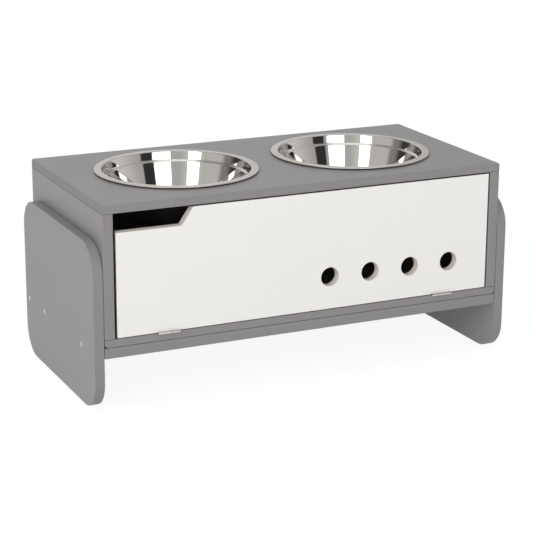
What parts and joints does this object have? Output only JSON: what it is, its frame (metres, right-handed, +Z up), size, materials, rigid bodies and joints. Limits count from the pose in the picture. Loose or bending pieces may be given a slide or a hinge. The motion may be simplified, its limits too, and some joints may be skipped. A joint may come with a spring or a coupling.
{
  "type": "elevated dog feeder with storage",
  "caption": "Raised pet feeder: a board box on leg panels, with steel bowls that lift out of its top and a flip-down door with finger notch in front of its storage space.",
  "frame": {"origin": "on the floor, in the middle of the stand's footprint, between the two leg panels", "axes": "+Z up; the door faces -Y; +X runs from the leg panel beside the finger notch to the other one"},
  "size_m": [0.6, 0.2842, 0.2742],
  "materials": {
    "grey_board": "MDF, sprayed warm grey, satin",
    "white_door": "MDF, sprayed warm white, satin; cut edges of notch and holes clear-coated raw",
    "steel_bowl": "drawn stainless steel, polished inside, satin rim",
    "plated_hinge": "nickel plated steel",
    "zinc_screw": "bright zinc plated steel",
    "cam_fitting": "zinc die-casting and plated steel",
    "beech_dowel": "turned beech",
    "catch_plastic": "moulded white plastic",
    "ferrite": "sintered ferrite",
    "catch_steel": "zinc plated sheet steel"
  },
  "bodies": {
    "stand_and_box": {"top_panel": "grey_board", "bottom_panel": "grey_board", "back_panel": "grey_board", "base_board": "grey_board", "side_panel_left": "grey_board", "side_panel_right": "grey_board", "leg_panel_left": "grey_board", "leg_panel_right": "grey_board", "hinge_frame_leaf_left": "plated_hinge", "hinge_frame_leaf_right": "plated_hinge", "hinge_pin_left": "plated_hinge", "hinge_pin_right": "plated_hinge", "catch_screws": "zinc_screw", "leg_to_base_screws": "zinc_screw", "leg_to_side_screws": "zinc_screw", "bottom_panel_screws": "zinc_screw", "base_board_screws": "zinc_screw", "hinge_frame_screws_left": "zinc_screw", "hinge_frame_screws_right": "zinc_screw", "cam_bolts": "cam_fitting", "cam_locks": "cam_fitting", "top_dowels": "beech_dowel", "back_dowels": "beech_dowel", "catch_housing": "catch_plastic", "catch_magnet": "ferrite", "catch_pole_plates": "catch_steel"},
    "door": {"door_panel": "white_door", "hinge_door_leaf_left": "plated_hinge", "hinge_door_leaf_right": "plated_hinge", "hinge_door_screws_left": "zinc_screw", "hinge_door_screws_right": "zinc_screw", "strike_plate": "catch_steel", "strike_screw": "zinc_screw"},
    "bowl_left": {"bowl_left": "steel_bowl"},
    "bowl_right": {"bowl_right": "steel_bowl"}
  },
  "joints": [
    {"name": "door_hinge", "type": "hinge", "parent": "stand_and_box", "child": "door", "pos_m": [0, -0.1422, 0.0965], "axis": [1, 0, 0], "range_deg": [0, 127]},
    {"name": "bowl_left_lift", "type": "slide", "parent": "stand_and_box", "child": "bowl_left", "axis": [0, 0, 1], "range_m": [0, 0.08]},
    {"name": "bowl_right_lift", "type": "slide", "parent": "stand_and_box", "child": "bowl_right", "axis": [0, 0, 1], "range_m": [0, 0.08]}
  ]
}
